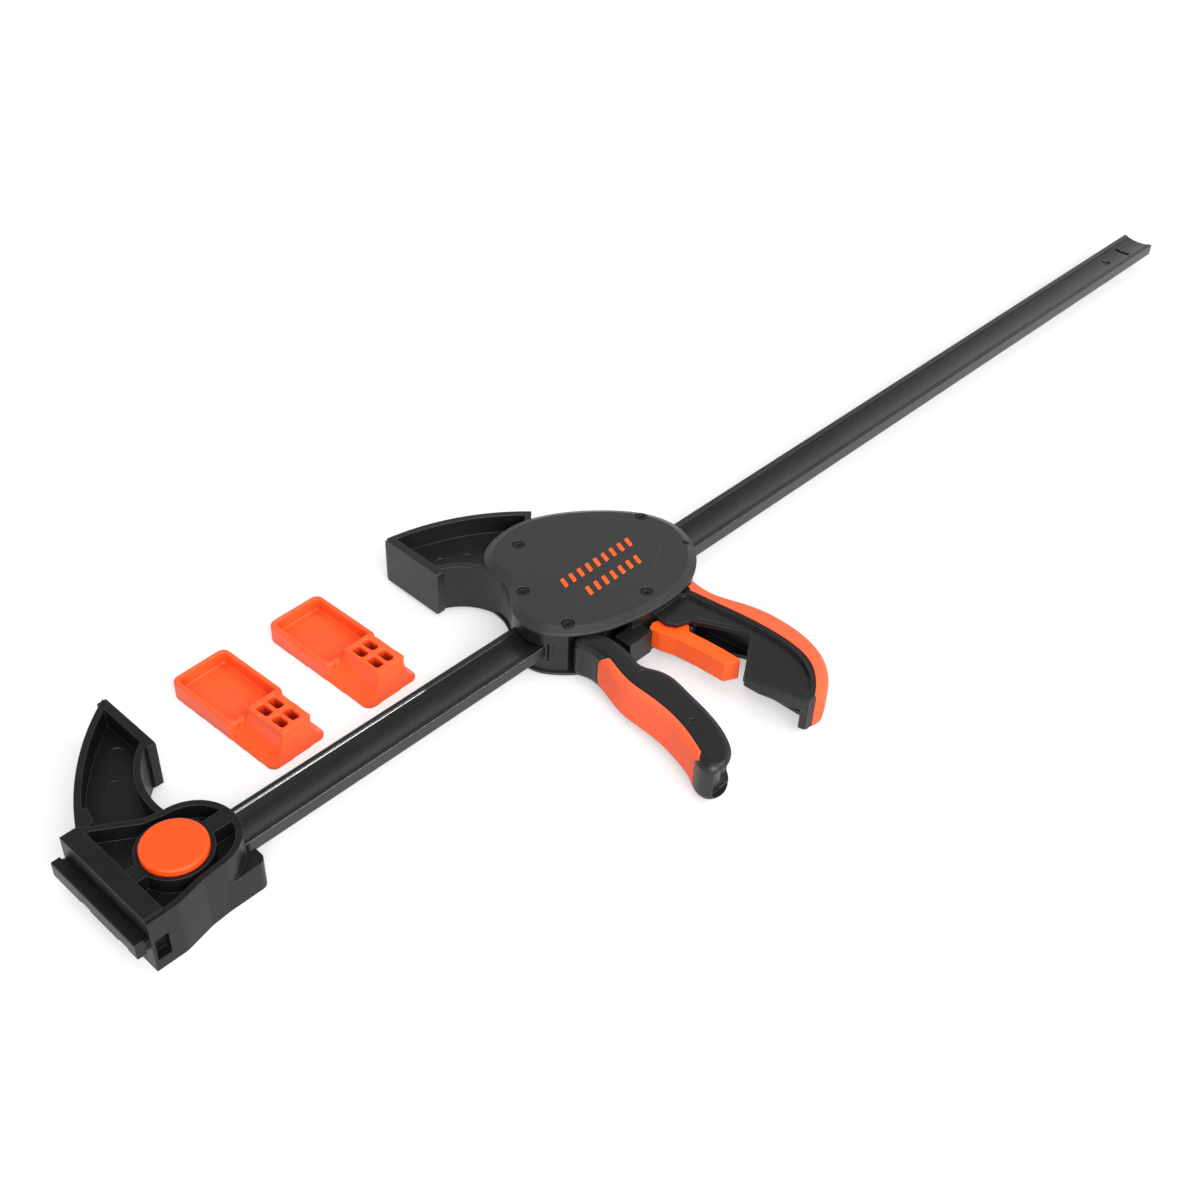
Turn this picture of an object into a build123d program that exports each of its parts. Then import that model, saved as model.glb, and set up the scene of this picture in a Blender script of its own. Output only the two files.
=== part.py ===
from build123d import *
import math
import os

# A one-hand quick release bar clamp, lying on its side. All sizes are millimetres.
# The row frame has +X along the bar towards its free end, +Y towards the jaws and +Z up.
# Its origin is on the fixed jaw's flat underside, on the axis of the quick change button.
# Each moulding is drawn in a frame of its own, whose Z is 0 in the clamp's middle plane:
# the fixed jaw and its button on the button's axis, the sliding head on its clamping face,
# and a pad on one corner of its base.

# ---- clearances -------------------------------------------------------------------------
running_gap = 0.3        # between bodies that move past each other
sliding_gap = 0.25       # between the bar and each window that it passes through
pin_gap = 0.05           # round a pin in the piece that turns on it
screw_gap = 0.1          # round a screw's shank

# ---- overall layout ---------------------------------------------------------------------
half_thickness = 15.0    # from the middle plane to the outer face of the head and fixed jaw
jaw_opening = 159.6      # between the two clamping faces as stored
throat_depth = 83.0      # from the bar's edge to the tip of each jaw plate

# ---- bar --------------------------------------------------------------------------------
bar_length = 787.0
bar_width = 20.0
bar_thickness = 6.5
bar_rim = 2.3            # flat land along each edge of a wide face
bar_step = 0.5           # upright step from a land down to the hollow between them
bar_hollow = 1.5         # depth of the hollow at the middle of each wide face
bar_overhang = 21.0      # from the button's axis to the end of the bar
key_slot_length = 11.0
key_slot_width = 3.2
tie_hole_radius = 3.0
tie_hole_inset = 20.4    # from a cross slot to the round hole beside it

# ---- jaw plates, alike on both jaws -----------------------------------------------------
plate_length = 38.3
plate_height = 25.4
plate_thickness = 4.2
plate_edge_radius = 1.5

# ---- fixed jaw --------------------------------------------------------------------------
fixed_face = 28.7        # clamping face from the button's axis
block_back = 29.4        # back face of the block from the button's axis
block_low = 24.2         # side of the block away from the jaws, at its tail
block_waist = 21.0       # the same side beside the button
block_high = 35.5        # jaw side of the block, at its tail
nose_radius = 20.2
nose_centre = 8.0
block_side_radius = 12.0
waist_start = -15.0      # the block narrows to its waist from here to the next place
waist_end = -1.0
waist_bend = 1.0         # how near a corner lies to the first of those places
shoulder = (0.0, 22.0)   # where the block's jaw side leaves the nose, below the arm
shoulder_end = -20.5
block_step = 1.2         # block's faces below the full thickness, beside the tail strip
tail_strip_inset = 2.0   # tail strip's end short of the block's low side
tail_strip = 8.6         # solid strip along the block's back face
arm_height = 25.4
arm_wall = 3.0           # rim round the recess in each side of an arm
arm_web = 5.0            # web between the two recesses of an arm
arm_foot_rise = 3.5      # the plate's foot stands free below the arm
mark_radius = 2.6        # round ejector marks on an arm's web
mark_depth = 0.4
fixed_marks = [(18.5, 71.0), (7.1, 55.3)]
head_marks = [(16.6, 70.6), (28.3, 64.3)]
root_pad = [(-21.5, 48.1), (-15.9, 48.1), (-12.2, 43.0), (-14.5, 35.0), (-21.5, 35.0)]
fixed_back_bulge = 5.0
fixed_throat_bulge = 6.2
block_wall = 2.8
ring_wall = 1.9          # round the button
pocket_floor = 6.2       # depth of the four pockets, from the middle plane
sleeve_rib = 8.0
rail_web = 1.7           # how far the coupling rail's head stands off the block
rail_head = 4.2
rail_web_height = 4.6
rail_height = 8.4
rail_low = -22.0
rail_high = 36.0
rail_notch = 1.6
rail_edge_radius = 0.8
rail_notches = [(10.0, 17.0), (-16.0, -9.0)]     # in the rail's lower edge
low_step_reach = 28.6    # the nose's lower half runs on beside the bar to here
low_step_radius = 4.0
low_step_inset = 2.0     # from the bar's edge
low_step_top = 0.5       # above the middle plane
side_pocket_start = -28.0
side_pocket_end = -21.5
side_pocket_depth = 4.5
side_pocket_low = -9.5
side_pocket_high = 2.5
pocket_ceiling = 9.0     # solid strip across the block under the arm's recess
arm_root_lift = 0.6      # arm's outer edge above the block's corner
arm_root_middle = (-6.0, 16.0)
arm_root_throat = (9.4, 19.8)

# ---- quick change button and latch ------------------------------------------------------
button_radius = 14.1
button_gap = 0.25
button_top = 16.6        # crown of the cap, from the middle plane
button_crown = 1.2
button_skirt = 8.2       # underside of the cap
button_travel = 4.0
leg_thickness = 2.2
leg_width = 9.0
foot_gap = 0.6           # under the legs when the button is pressed in
key_thickness = 2.6
key_length = 10.6
key_depth = 3.0          # how far the key stands into the bar's slot
key_bar_height = 2.6
button_floor = 2.2       # floor left under the button's well
latch_wire = 0.8
latch_coils = 2.5
latch_radius = 6.5
key_fit = 0.1            # round the key's cross bar in the button's legs
spring_seat_gap = 0.1    # between a spring's end and its seat

# ---- sliding head -----------------------------------------------------------------------
cover_edge = 1.1         # upright edge of a cover
cover_bevel_drop = 2.2
cover_bevel_width = 4.2
cover_skin = 2.1
housing_wall = 3.0
head_back_bulge = 6.0
head_throat_bulge = 8.0
head_back_end = (68.0, 59.5)
head_root_middle = (44.0, 38.0)
head_throat_end = (20.0, 24.0)
cover_outline = [
    (8.4, -12.0), (4.7, 0.5), (8.4, 12.6), (16.4, 22.5), (20.0, 32.0), (21.6, 43.5),
    (28.2, 51.5), (39.5, 56.2), (57.0, 56.8), (75.5, 49.6), (98.3, 31.2), (109.6, 14.6),
    (111.6, -3.0), (104.6, -18.3), (88.0, -31.3), (72.0, -35.0), (48.0, -33.4), (24.0, -26.0),
]
inset_points = 36        # points that carry the housing's walls round the covers' outline
outline_turn = -90       # from the outline's direction to the inside, in degrees
wall_inset = 1.0         # housing's outer wall inside the edge of the covers
seat_rib_at = 60.5
brake_rib_at = 90.0
rib_thickness = 3.0
front_guide_end = 19.0
rear_guide_start = 98.0
guide_half_width = 18.5
nib_thickness = 2.0
nib_height = 5.0
doorway_start = 12.5
doorway_end = 45.0
ledge_start = 35.0      # the squeezed lever stops against this edge
ledge_end = 50.0
ledge_top = -30.0
ledge_low = -40.0
ledge_height = 13.0
slit_places = [-13.2, -11.5]       # along Y, in the front wall beside the bar
slit_width = 0.8
slit_height = 11.0
slit_reach = 10.9
lug_centre = (79.5, -32.6)
lug_radius = 3.6
lug_hole = 1.2

# ---- squeeze lever ----------------------------------------------------------------------
lever_pin_x = 32.0
lever_pin_y = 20.0
lever_pin_radius = 3.0
lever_height = 22.0
lever_wall = 2.9
lever_skin = 3.2         # soft overmould on the lever's front
lever_edge_radius = 4.0
fork_outer = 8.0         # outer faces of the fork from the middle plane
fork_half_width = 6.2
fork_eye_radius = 6.8
fork_bar_room = 3.2      # below the bar, for the fork's swing
push_radius = 7.0        # rounded nose that pushes the drive plates
push_y = -14.0
lever_front = [
    (15.6, -26.5), (17.0, -33.0), (15.7, -40.5), (12.7, -50.0), (10.5, -60.0), (10.2, -70.0),
    (9.2, -83.0), (6.4, -95.5), (1.9, -107.0), (-1.6, -114.0),
]
lever_back = [
    (19.6, -112.4), (23.4, -104.5), (27.0, -92.5), (29.8, -79.5), (31.4, -67.5),
    (29.8, -61.0), (27.2, -54.5), (28.4, -47.5), (30.4, -40.0), (30.6, -32.0), (29.0, -25.0),
]
lever_tip = [(-0.6, -119.6), (5.6, -122.4), (13.4, -119.6)]
lever_crown = [(26.4, -21.2), (20.6, -19.0), (16.2, -21.6)]
lever_skin_top = -36.5
lever_skin_end = -115.5
lever_roof = -28.0       # top of the hollow in the lever's back
lever_hollow_end = -117.0
lever_tip_opening = 7.5  # the hollow runs out through the tip behind this place
lever_skin_corner = 8.0  # rounded ends of the soft front, seen from the front
lever_clear = 60.0       # beyond the lever's back, for cuts that are open on that side
neck_overlap = 1.0       # how far the fork's neck reaches below the hollow's top
neck_shoulder = 3.0      # neck's front edge behind the lever's front

# ---- drive and brake --------------------------------------------------------------------
drive_plate_thickness = 3.0
drive_plate_count = 2
drive_plate_low = -19.5
drive_plate_high = 15.0
drive_plate_height = 16.0
spring_mean_radius = 11.5
drive_wire = 1.3
drive_coils = 4.5
drive_plate_radius = 1.5
brake_wire = 1.1
brake_coils = 4.0
brake_hinge_x = 72.0
brake_hinge_y = 22.0
brake_tilt = 3.0         # degrees off square with the bar
brake_thickness = 3.0
brake_tail = 72.0        # from the brake plate's hinge to its lower end
brake_height = 16.0
brake_tail_height = 9.0
brake_window_gap = 0.35
brake_top = 2.5          # from the brake plate's hinge to its upper end
brake_below_bar = 7.0    # depth of the wide part below the bar
brake_spring_gap = 0.3

# ---- release trigger --------------------------------------------------------------------
trigger_pin_x = 60.4
trigger_pin_y = -41.0
trigger_pin_radius = 1.5
trigger_height = 11.0
trigger_outline = [
    (51.6, -36.6), (55.6, -35.2), (60.8, -36.6), (66.2, -44.4), (66.4, -48.8), (63.2, -51.4),
    (64.4, -60.0), (65.4, -71.0), (65.6, -82.0), (58.0, -78.0), (57.0, -64.0), (55.2, -50.5),
    (52.6, -42.6),
]
trigger_edge_radius = 0.9

# ---- fixed grip -------------------------------------------------------------------------
grip_height = 21.0
grip_rim_height = 20.0
grip_rim_width = 3.2
grip_channel = 12.8      # clear width between the cheeks
cheek_thickness = 2.2
pin_cover = 0.9          # material left over each end of the trigger's pin
grip_tongue_height = 14.0
grip_tongue_end = -116.0
grip_skin = 3.0          # soft overmould on the grip's back
grip_spine = 4.0
grip_inner_edge = [
    (79.0, -26.0), (82.0, -36.0), (84.2, -50.0), (86.4, -64.0), (87.8, -79.0), (87.4, -94.0),
    (84.0, -106.5), (77.0, -115.5), (67.5, -122.5),
]
grip_outer_edge = [
    (94.5, -22.0), (91.6, -32.0), (91.6, -43.0), (96.0, -56.0), (99.4, -68.0), (100.4, -80.0),
    (99.2, -94.0), (95.6, -105.0), (89.8, -113.5), (80.8, -120.8), (71.0, -126.0),
]
grip_skin_radius = 7.5
cheek_edge = [
    (58.0, -30.0), (57.4, -42.0), (60.0, -46.4), (66.6, -48.6), (80.5, -74.5), (56.6, -90.4),
    (57.2, -99.0), (63.4, -121.6), (67.5, -122.5),
]
back_cheek_edge = [
    (58.0, -30.0), (57.4, -42.0), (60.0, -46.4), (66.6, -48.6), (80.5, -74.5), (67.6, -82.4),
    (68.9, -119.5), (67.5, -122.5),
]

# ---- screws -----------------------------------------------------------------------------
screw_places = [(42.4, 42.6), (19.6, 15.9), (18.6, -14.9), (61.6, -25.0), (103.0, 16.4)]
small_screw_place = (103.4, -13.0)
screw_head_radius = 3.3
screw_head_height = 1.5
screw_shank_radius = 1.5
screw_boss_radius = 3.6
screw_sink = 0.3         # head's top below the cover's face
screw_socket_depth = 1.0
socket_sides = 6
small_screw_head_radius = 1.9
small_screw_shank_radius = 1.0
small_screw_length = 8.0
screw_end_cover = 1.0    # material left under a screw's tip

# ---- soft pads --------------------------------------------------------------------------
pad_length = 71.5
pad_width = 31.5
pad_base = 1.4
tray_length = 44.0
tray_height = 10.2
tray_floor = 3.4
pad_fit = 0.6            # pocket over plate, all told
block_height = 18.5
block_top_width = 16.4
block_end_inset = 0.6    # block's end wall from the end of the base
block_top_length = 22.6
block_ramp = 3.2         # run of the slope between the tray's rim and the block's top
scoop_sag = 2.2          # hollow of the block's scooped sides
core_width = 4.3
core_length = 7.8
core_corner = 1.2
core_depth = 9.0
core_spacing = 6.4
core_row_spacing = 10.4
core_shift = (-0.6, 0.8)           # of the four cores from the middle of the block's top
pad_corner_radius = 4.2
pad_edge_radius = 1.3    # round the tray's rim and the block's top
pad_places = [(67.5, 28.7, 2.6), (122.1, 29.0, 2.0)]    # corner X, corner Y, turn in degrees

# ---- worked out from the above ----------------------------------------------------------
bar_half = bar_width / 2
tip_y = bar_half + throat_depth
foot_y = tip_y - plate_length
sliding_face = fixed_face + jaw_opening
cover_seat = half_thickness - cover_bevel_drop - cover_edge
cover_inside = half_thickness - cover_skin
button_well = button_radius + button_gap
button_pocket_floor = -(half_thickness - button_floor)
leg_foot = button_pocket_floor + button_travel + foot_gap
lever_hollow_height = lever_height - 2 * lever_wall
drive_stack = drive_plate_thickness * drive_plate_count
drive_start = lever_pin_x + push_radius + running_gap


def prism(outline, low, high):
    """A plan outline made solid between two heights."""
    return Pos(0, 0, low) * extrude(outline, high - low)


def slab(outline, height):
    """A plan outline made solid, half above and half below the middle plane."""
    return prism(outline, -height / 2, height / 2)


def block(x_low, x_high, y_low, y_high, z_low, z_high):
    """A box given by its six faces."""
    centre = Pos((x_low + x_high) / 2, (y_low + y_high) / 2, (z_low + z_high) / 2)
    return centre * Box(x_high - x_low, y_high - y_low, z_high - z_low)


def upright(x, y, radius, low, high):
    """A round post along Z."""
    return Pos(x, y, (low + high) / 2) * Cylinder(radius, high - low)


def bar_window(x_low, x_high, gap):
    """The room that the bar takes in a wall between two places along it, with a gap round it."""
    half_width = bar_half + gap
    half_height = bar_thickness / 2 + gap
    return block(x_low, x_high, -half_width, half_width, -half_height, half_height)


def long_edges(solid, face_axis=Axis.Z):
    """The edges round the highest and the lowest face."""
    faces = solid.faces().sort_by(face_axis)
    return faces[-1].edges() + faces[0].edges()


def coil_spring(mean_radius, wire_radius, coils, length):
    """A coil spring along Z from 0 to its free length, with its wire's ends cut square."""
    rise = length - 2 * wire_radius
    path = Helix(pitch=rise / coils, height=rise, radius=mean_radius)
    section = Plane(origin=path @ 0, z_dir=path % 0) * RegularPolygon(wire_radius, 8)
    return Pos(0, 0, wire_radius) * sweep(section, path=path)


# ---- bar --------------------------------------------------------------------------------
def make_bar():
    """The whole bar, drawn from its end under the button."""
    half_height = bar_thickness / 2
    web_half = bar_half - bar_rim
    edge_height = half_height - bar_step
    near_edge = (-web_half, edge_height)
    far_edge = (web_half, edge_height)
    floor = ThreePointArc(near_edge, (0, half_height - bar_hollow), far_edge)
    rim = Polyline(far_edge, (web_half, half_height), (-web_half, half_height), near_edge)
    trough = make_face(floor + rim)
    section = Rectangle(bar_width, bar_thickness) - trough - Rot(0, 0, 180) * trough
    steel = Pos(-bar_overhang, 0, 0) * extrude(Plane.YZ * section, bar_length)
    far_slot = bar_length - 2 * bar_overhang
    for slot_x, towards_middle in ((0, 1), (far_slot, -1)):
        slot = Pos(slot_x, 0) * Rectangle(key_slot_width, key_slot_length)
        hole = Pos(slot_x + towards_middle * tie_hole_inset, 0) * Circle(tie_hole_radius)
        steel -= slab(slot + hole, bar_thickness * 2)
    return steel


# ---- jaws: what both have in common -----------------------------------------------------
def jaw_plate(face_x, back):
    """A jaw plate whose clamping face is at face_x, with its back towards +1 or -1 along X."""
    x_low, x_high = sorted((face_x, face_x + back * plate_thickness))
    half = plate_height / 2
    plate = block(x_low, x_high, foot_y, tip_y, -half, half)
    return fillet(plate.edges().filter_by(Axis.X), plate_edge_radius)


def arm_outline(plate_side, back_end, back_bulge, root_middle, throat_end, throat_bulge):
    """An arm's plan: from inside the plate, along two curved edges, to a root in the housing."""
    low_corner = (plate_side, foot_y + arm_foot_rise)
    high_corner = (plate_side, tip_y)
    back_edge = SagittaArc(high_corner, back_end, back_bulge)
    throat_edge = SagittaArc(throat_end, low_corner, throat_bulge)
    root = Polyline(back_end, root_middle, throat_end)
    return make_face(back_edge + root + throat_edge + Line(low_corner, high_corner))


def recess_both_sides(solid, outline, web, height):
    """Sink one outline into both sides of a moulding down to a middle web."""
    return solid - prism(outline, web / 2, height) - prism(outline, -height, -web / 2)


def ejector_marks(places):
    """Shallow round marks in both faces of an arm's web."""
    marks = Sketch()
    for x, y in places:
        marks += Pos(x, y) * Circle(mark_radius)
    low = arm_web / 2 - mark_depth
    return prism(marks, low, half_thickness) + prism(marks, -half_thickness, -low)


# ---- fixed jaw --------------------------------------------------------------------------
def fixed_block_outline():
    """The block round the bar's end: a straight back, two sides and a round nose."""
    nose = Pos(nose_centre, 0) * Circle(nose_radius)
    corners = [
        (-block_back, -block_low), (waist_start, -block_low), (waist_end, -block_waist),
        (nose_centre, -nose_radius), (nose_centre, nose_radius), shoulder,
        (shoulder_end, block_high), (-block_back, block_high),
    ]
    sides = make_face(Polyline(*corners, close=True))
    bend = Vector(waist_start, -block_low, 0)
    bends = [corner for corner in sides.vertices() if (Vector(*corner) - bend).length < waist_bend]
    return fillet(bends, block_side_radius) + nose


def fixed_arm_outline():
    """Plan of the fixed arm, from the plate's back to the block."""
    back_end = (waist_start - 7.0, block_high + arm_root_lift)
    plate_side = fixed_face - plate_thickness + arm_wall
    return arm_outline(
        plate_side, back_end, -fixed_back_bulge,
        arm_root_middle, arm_root_throat, fixed_throat_bulge,
    )


def make_fixed_jaw():
    """Plate, ribbed arm, block with its sleeve for the bar, button well and coupling rail."""
    outline = fixed_block_outline()
    arm = fixed_arm_outline()
    jaw = prism(outline, -half_thickness, half_thickness - block_step)
    jaw += tail_strip_block()
    jaw += slab(arm, arm_height)
    jaw += jaw_plate(fixed_face, -1)
    jaw += low_step()
    recess = offset(arm, -arm_wall) - outline
    recess -= make_face(Polyline(*root_pad, close=True))
    jaw = recess_both_sides(jaw, recess, arm_web, half_thickness)
    jaw -= ejector_marks(fixed_marks)
    pockets = block_pockets(outline)
    jaw = recess_both_sides(jaw, pockets, 2 * pocket_floor, 2 * half_thickness)
    jaw += coupling_rail()
    jaw -= bar_window(-bar_overhang - running_gap, fixed_face + nose_radius, sliding_gap)
    jaw -= upright(0, 0, button_well, button_pocket_floor, 2 * half_thickness)
    return jaw - side_pocket()


def tail_strip_block():
    """The strip of full thickness along the block's back face."""
    y_low = -block_low + tail_strip_inset
    x_high = -block_back + tail_strip
    return block(-block_back, x_high, y_low, block_high, -half_thickness, half_thickness)


def low_step():
    """The low step of the nose beside the bar, on the side away from the jaws."""
    y_high = -bar_half - low_step_inset
    step = block(nose_centre, low_step_reach, -nose_radius, y_high, -half_thickness, low_step_top)
    corner = step.edges().filter_by(Axis.Z).group_by(Axis.X)[-1].sort_by(Axis.Y)[0]
    return fillet(corner, low_step_radius)


def side_pocket():
    """The pocket in the block's low side."""
    y_high = -block_low + side_pocket_depth
    z_low = side_pocket_low
    z_high = side_pocket_high
    return block(side_pocket_start, side_pocket_end, -2 * block_low, y_high, z_low, z_high)


def block_pockets(outline):
    """Four pockets between the button's ring, the rib over the sleeve and the block's walls."""
    inside = offset(outline, -block_wall)
    inside -= Circle(button_well + ring_wall)
    inside -= Rectangle(4 * nose_radius, sleeve_rib)
    inside -= Pos(-block_back, 0) * Rectangle(2 * tail_strip, 4 * block_high)
    inside -= Pos(0, block_high) * Rectangle(4 * nose_radius, pocket_ceiling)
    return inside


def coupling_rail():
    """A T rail on the block's back that joins this clamp to another one."""
    web_end = -block_back - rail_web
    head_end = web_end - rail_head
    half_web = rail_web_height / 2
    half_head = rail_height / 2
    rail = block(web_end, -block_back, rail_low, rail_high, -half_web, half_web)
    head = block(head_end, web_end, rail_low, rail_high, -half_head, half_head)
    head = fillet(head.edges().group_by(Axis.X)[0].filter_by(Axis.Y), rail_edge_radius)
    for y_low, y_high in rail_notches:
        head -= block(head_end, web_end, y_low, y_high, -half_head, -half_head + rail_notch)
    return rail + head


# ---- quick change button and latch ------------------------------------------------------
def leg_room():
    """How far from the button's axis the inner faces of its legs are."""
    return bar_half + running_gap


def make_button():
    """The cap and two legs that pass the bar and carry the key under it."""
    cap = upright(0, 0, button_radius, button_skirt, button_top)
    cap = fillet(cap.faces().sort_by(Axis.Z)[-1].edges(), button_crown)
    for side in (1, -1):
        near, far = sorted((side * leg_room(), side * (leg_room() + leg_thickness)))
        leg = block(-leg_width / 2, leg_width / 2, near, far, leg_foot, button_skirt)
        cap += leg
    return cap - key_bar(key_fit, leg_thickness)


def key_bar_top():
    """Top of the cross bar under the latch key: clear of the bar above it."""
    return -bar_thickness / 2 - running_gap


def key_bar(gap, extra_length):
    """The cross bar that carries the key between the button's legs."""
    half_x = key_thickness / 2 + gap
    half_y = leg_room() + leg_thickness + extra_length
    top = key_bar_top() + gap
    return block(-half_x, half_x, -half_y, half_y, top - key_bar_height - 2 * gap, top)


def make_latch_key():
    """A steel key: a cross bar in the button's legs and a tongue up into the bar's slot."""
    half_x = key_thickness / 2
    half_y = key_length / 2
    low = key_bar_top() - key_bar_height / 2
    high = key_bar_top() + running_gap + key_depth
    return key_bar(0, 0) + block(-half_x, half_x, -half_y, half_y, low, high)


def make_latch_spring():
    """The spring between the floor of the button's well and the latch key."""
    seat = key_bar_top() - key_bar_height - spring_seat_gap
    low = button_pocket_floor + spring_seat_gap
    wire_radius = latch_wire / 2
    return Pos(0, 0, low) * coil_spring(latch_radius, wire_radius, latch_coils, seat - low)


# ---- sliding head -----------------------------------------------------------------------
def cover_shape(inset=0):
    """The plan of a cover, or that outline moved inwards by an inset."""
    edge = Spline(*cover_outline, periodic=True)
    if inset == 0:
        return make_face(edge)
    points = []
    for step in range(inset_points):
        along = step / inset_points
        inwards = (edge % along).rotate(Axis.Z, outline_turn)
        points.append(edge @ along + inwards * inset)
    return make_face(Spline(*points, periodic=True))


def head_arm_outline():
    """Plan of the sliding arm, from the plate's back to the housing."""
    plate_side = plate_thickness - arm_wall
    return arm_outline(
        plate_side, head_back_end, head_back_bulge,
        head_root_middle, head_throat_end, -head_throat_bulge,
    )


def curve_shifted(points, shift):
    """A smooth edge through points that are moved along X."""
    return Spline(*[(x + shift, y) for x, y in points])


def band_between(points_a, shift_a, points_b, shift_b):
    """The face between two smooth edges that run the same way."""
    edge_a = curve_shifted(points_a, shift_a)
    edge_b = curve_shifted(points_b, shift_b)
    return make_face(edge_a + Line(edge_a @ 1, edge_b @ 1) + edge_b + Line(edge_b @ 0, edge_a @ 0))


def cheek(free_corners, side):
    """A side wall of the grip, above (1) or below (-1) the channel for the trigger."""
    free_edge = Polyline(*free_corners)
    rim = Spline(*grip_inner_edge)
    outline = make_face(free_edge + rim + Line(grip_inner_edge[0], free_corners[0]))
    near = side * grip_channel / 2
    far = near + side * cheek_thickness
    return prism(outline, min(near, far), max(near, far))


def grip_tongue_outline():
    """Plan of the moulded tongue inside the soft back, rooted in the spine."""
    tongue = band_between(grip_inner_edge, -grip_spine / 2, grip_outer_edge, -grip_skin)
    reach = 2 * half_thickness
    return tongue - Pos(grip_inner_edge[0][0], grip_tongue_end - reach) * Rectangle(4 * reach, 2 * reach)


def make_grip_core():
    """The moulded part of the fixed grip: two cheeks, a spine between them and a rim."""
    outer_height = grip_channel + 2 * cheek_thickness
    spine = band_between(grip_inner_edge, -grip_spine, grip_inner_edge, 0)
    tongue = grip_tongue_outline()
    rim = band_between(grip_inner_edge, -grip_rim_width, grip_inner_edge, 0)
    core = cheek(cheek_edge, 1) + cheek(back_cheek_edge, -1)
    core += slab(spine, outer_height)
    core += slab(rim, grip_rim_height)
    return core + slab(tongue, grip_tongue_height)


def make_grip_overmould():
    """The soft back of the grip, round the moulded tongue."""
    skin = slab(band_between(grip_inner_edge, 0, grip_outer_edge, 0), grip_height)
    curved = skin.edges().filter_by(GeomType.BSPLINE)
    skin = fillet(curved.sort_by(Axis.X)[-2:], grip_skin_radius)
    skin -= slab(grip_tongue_outline(), grip_tongue_height)
    skin -= slab(cover_shape(), 2 * half_thickness)
    return skin - upright(*lug_centre, lug_radius, -half_thickness, half_thickness)


def housing_inside():
    """The plan of the room that the mechanism takes."""
    return cover_shape(wall_inset + housing_wall)


def make_sliding_jaw_body():
    """Plate, ribbed arm, housing ring with its ribs and bosses, and the core of the grip."""
    wall = cover_shape(wall_inset)
    inside = housing_inside()
    arm = head_arm_outline()
    depth = 2 * cover_seat
    body = slab(wall + arm, depth) - slab(inside, depth)
    body += slab(arm - cover_shape(), arm_height)
    body += jaw_plate(0, 1)
    body = recess_both_sides(body, offset(arm, -arm_wall) - wall, arm_web, half_thickness)
    body -= ejector_marks(head_marks) & slab(offset(arm, -arm_wall) - wall, 2 * half_thickness)
    body += slab(housing_supports() & inside, depth)
    body += slab(middle_web() & inside, arm_web)
    body += make_grip_core() - slab(inside, depth)
    body += ledge()
    body += upright(*lug_centre, lug_radius, -grip_rim_height / 2, grip_rim_height / 2)
    body -= upright(*lug_centre, lug_hole, -grip_rim_height, grip_rim_height)
    body -= lever_doorway() + brake_doorway() + trigger_pin_hole() + nose_slits()
    for x, y in screw_places + [small_screw_place]:
        body -= upright(x, y, screw_shank_radius + screw_gap, -half_thickness, half_thickness)
    return body - bar_window(-plate_thickness, sliding_face, sliding_gap)


def middle_web():
    """Plan of the web above the lever's eye, which carries on from the arm's web."""
    web_low = lever_pin_y + fork_eye_radius + running_gap
    return Pos(0, web_low + tip_y) * Rectangle(2 * sliding_face, 2 * tip_y)


def housing_supports():
    """Plan of the ribs across the housing, its two guides for the bar and the screw bosses."""
    front_guide = Pos(front_guide_end / 2, 0) * Rectangle(front_guide_end, 2 * guide_half_width)
    rear_guide = Pos(rear_guide_start + tip_y, 0) * Rectangle(2 * tip_y, 2 * guide_half_width)
    seat_rib = Pos(seat_rib_at + rib_thickness / 2, 0) * Rectangle(rib_thickness, 4 * tip_y)
    brake_rib = Pos(brake_rib_at + rib_thickness / 2, 0) * Rectangle(rib_thickness, 4 * tip_y)
    plan = front_guide + rear_guide + seat_rib + brake_rib + brake_socket()
    for x, y in screw_places + [small_screw_place]:
        plan += Pos(x, y) * Circle(screw_boss_radius)
    return plan


def brake_socket():
    """Plan of the shelf between the two ribs and the two nibs that hold the brake plate's top."""
    shelf_low = brake_hinge_y + brake_top + running_gap
    shelf_length = brake_rib_at - seat_rib_at
    shelf_centre = Pos(seat_rib_at + shelf_length / 2, shelf_low + rib_thickness / 2)
    shelf = shelf_centre * Rectangle(shelf_length, rib_thickness)
    nib_reach = brake_thickness / 2 + running_gap + nib_thickness / 2
    for side in (1, -1):
        nib_centre = Pos(brake_hinge_x + side * nib_reach, shelf_low)
        shelf += nib_centre * Rectangle(nib_thickness, 2 * nib_height)
    return shelf


def lever_doorway():
    """Room in the housing's wall for the lever to swing, past the ledge."""
    room = block(doorway_start, doorway_end, ledge_low, -guide_half_width, -cover_seat, cover_seat)
    return room - ledge()


def ledge():
    """A low shelf between the lever and the trigger, which ends the lever's stroke."""
    half = ledge_height / 2
    return block(ledge_start, ledge_end, ledge_low, ledge_top, -half, half)


def brake_doorway():
    """Room in the housing's wall for the brake plate's tail, between the grip's cheeks."""
    half = grip_channel / 2
    tail_x = brake_hinge_x - brake_tail * math.sin(math.radians(brake_tilt))
    x_low = tail_x - brake_thickness
    x_high = brake_hinge_x + brake_thickness
    return block(x_low, x_high, ledge_low, -guide_half_width, -half, half)


def nose_slits():
    """Two upright slits in the housing's front wall beside the bar."""
    slits = Part()
    for y in slit_places:
        y_low = y - slit_width / 2
        half = slit_height / 2
        slits += block(0, slit_reach, y_low, y_low + slit_width, -half, half)
    return slits


def trigger_pin_hole():
    """The seats for the trigger's pin, blind from the channel into both cheeks."""
    half = trigger_pin_half()
    return upright(trigger_pin_x, trigger_pin_y, trigger_pin_radius, -half, half)


def trigger_pin_half():
    """Half the length of the trigger's pin."""
    return grip_channel / 2 + cheek_thickness - pin_cover


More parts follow.
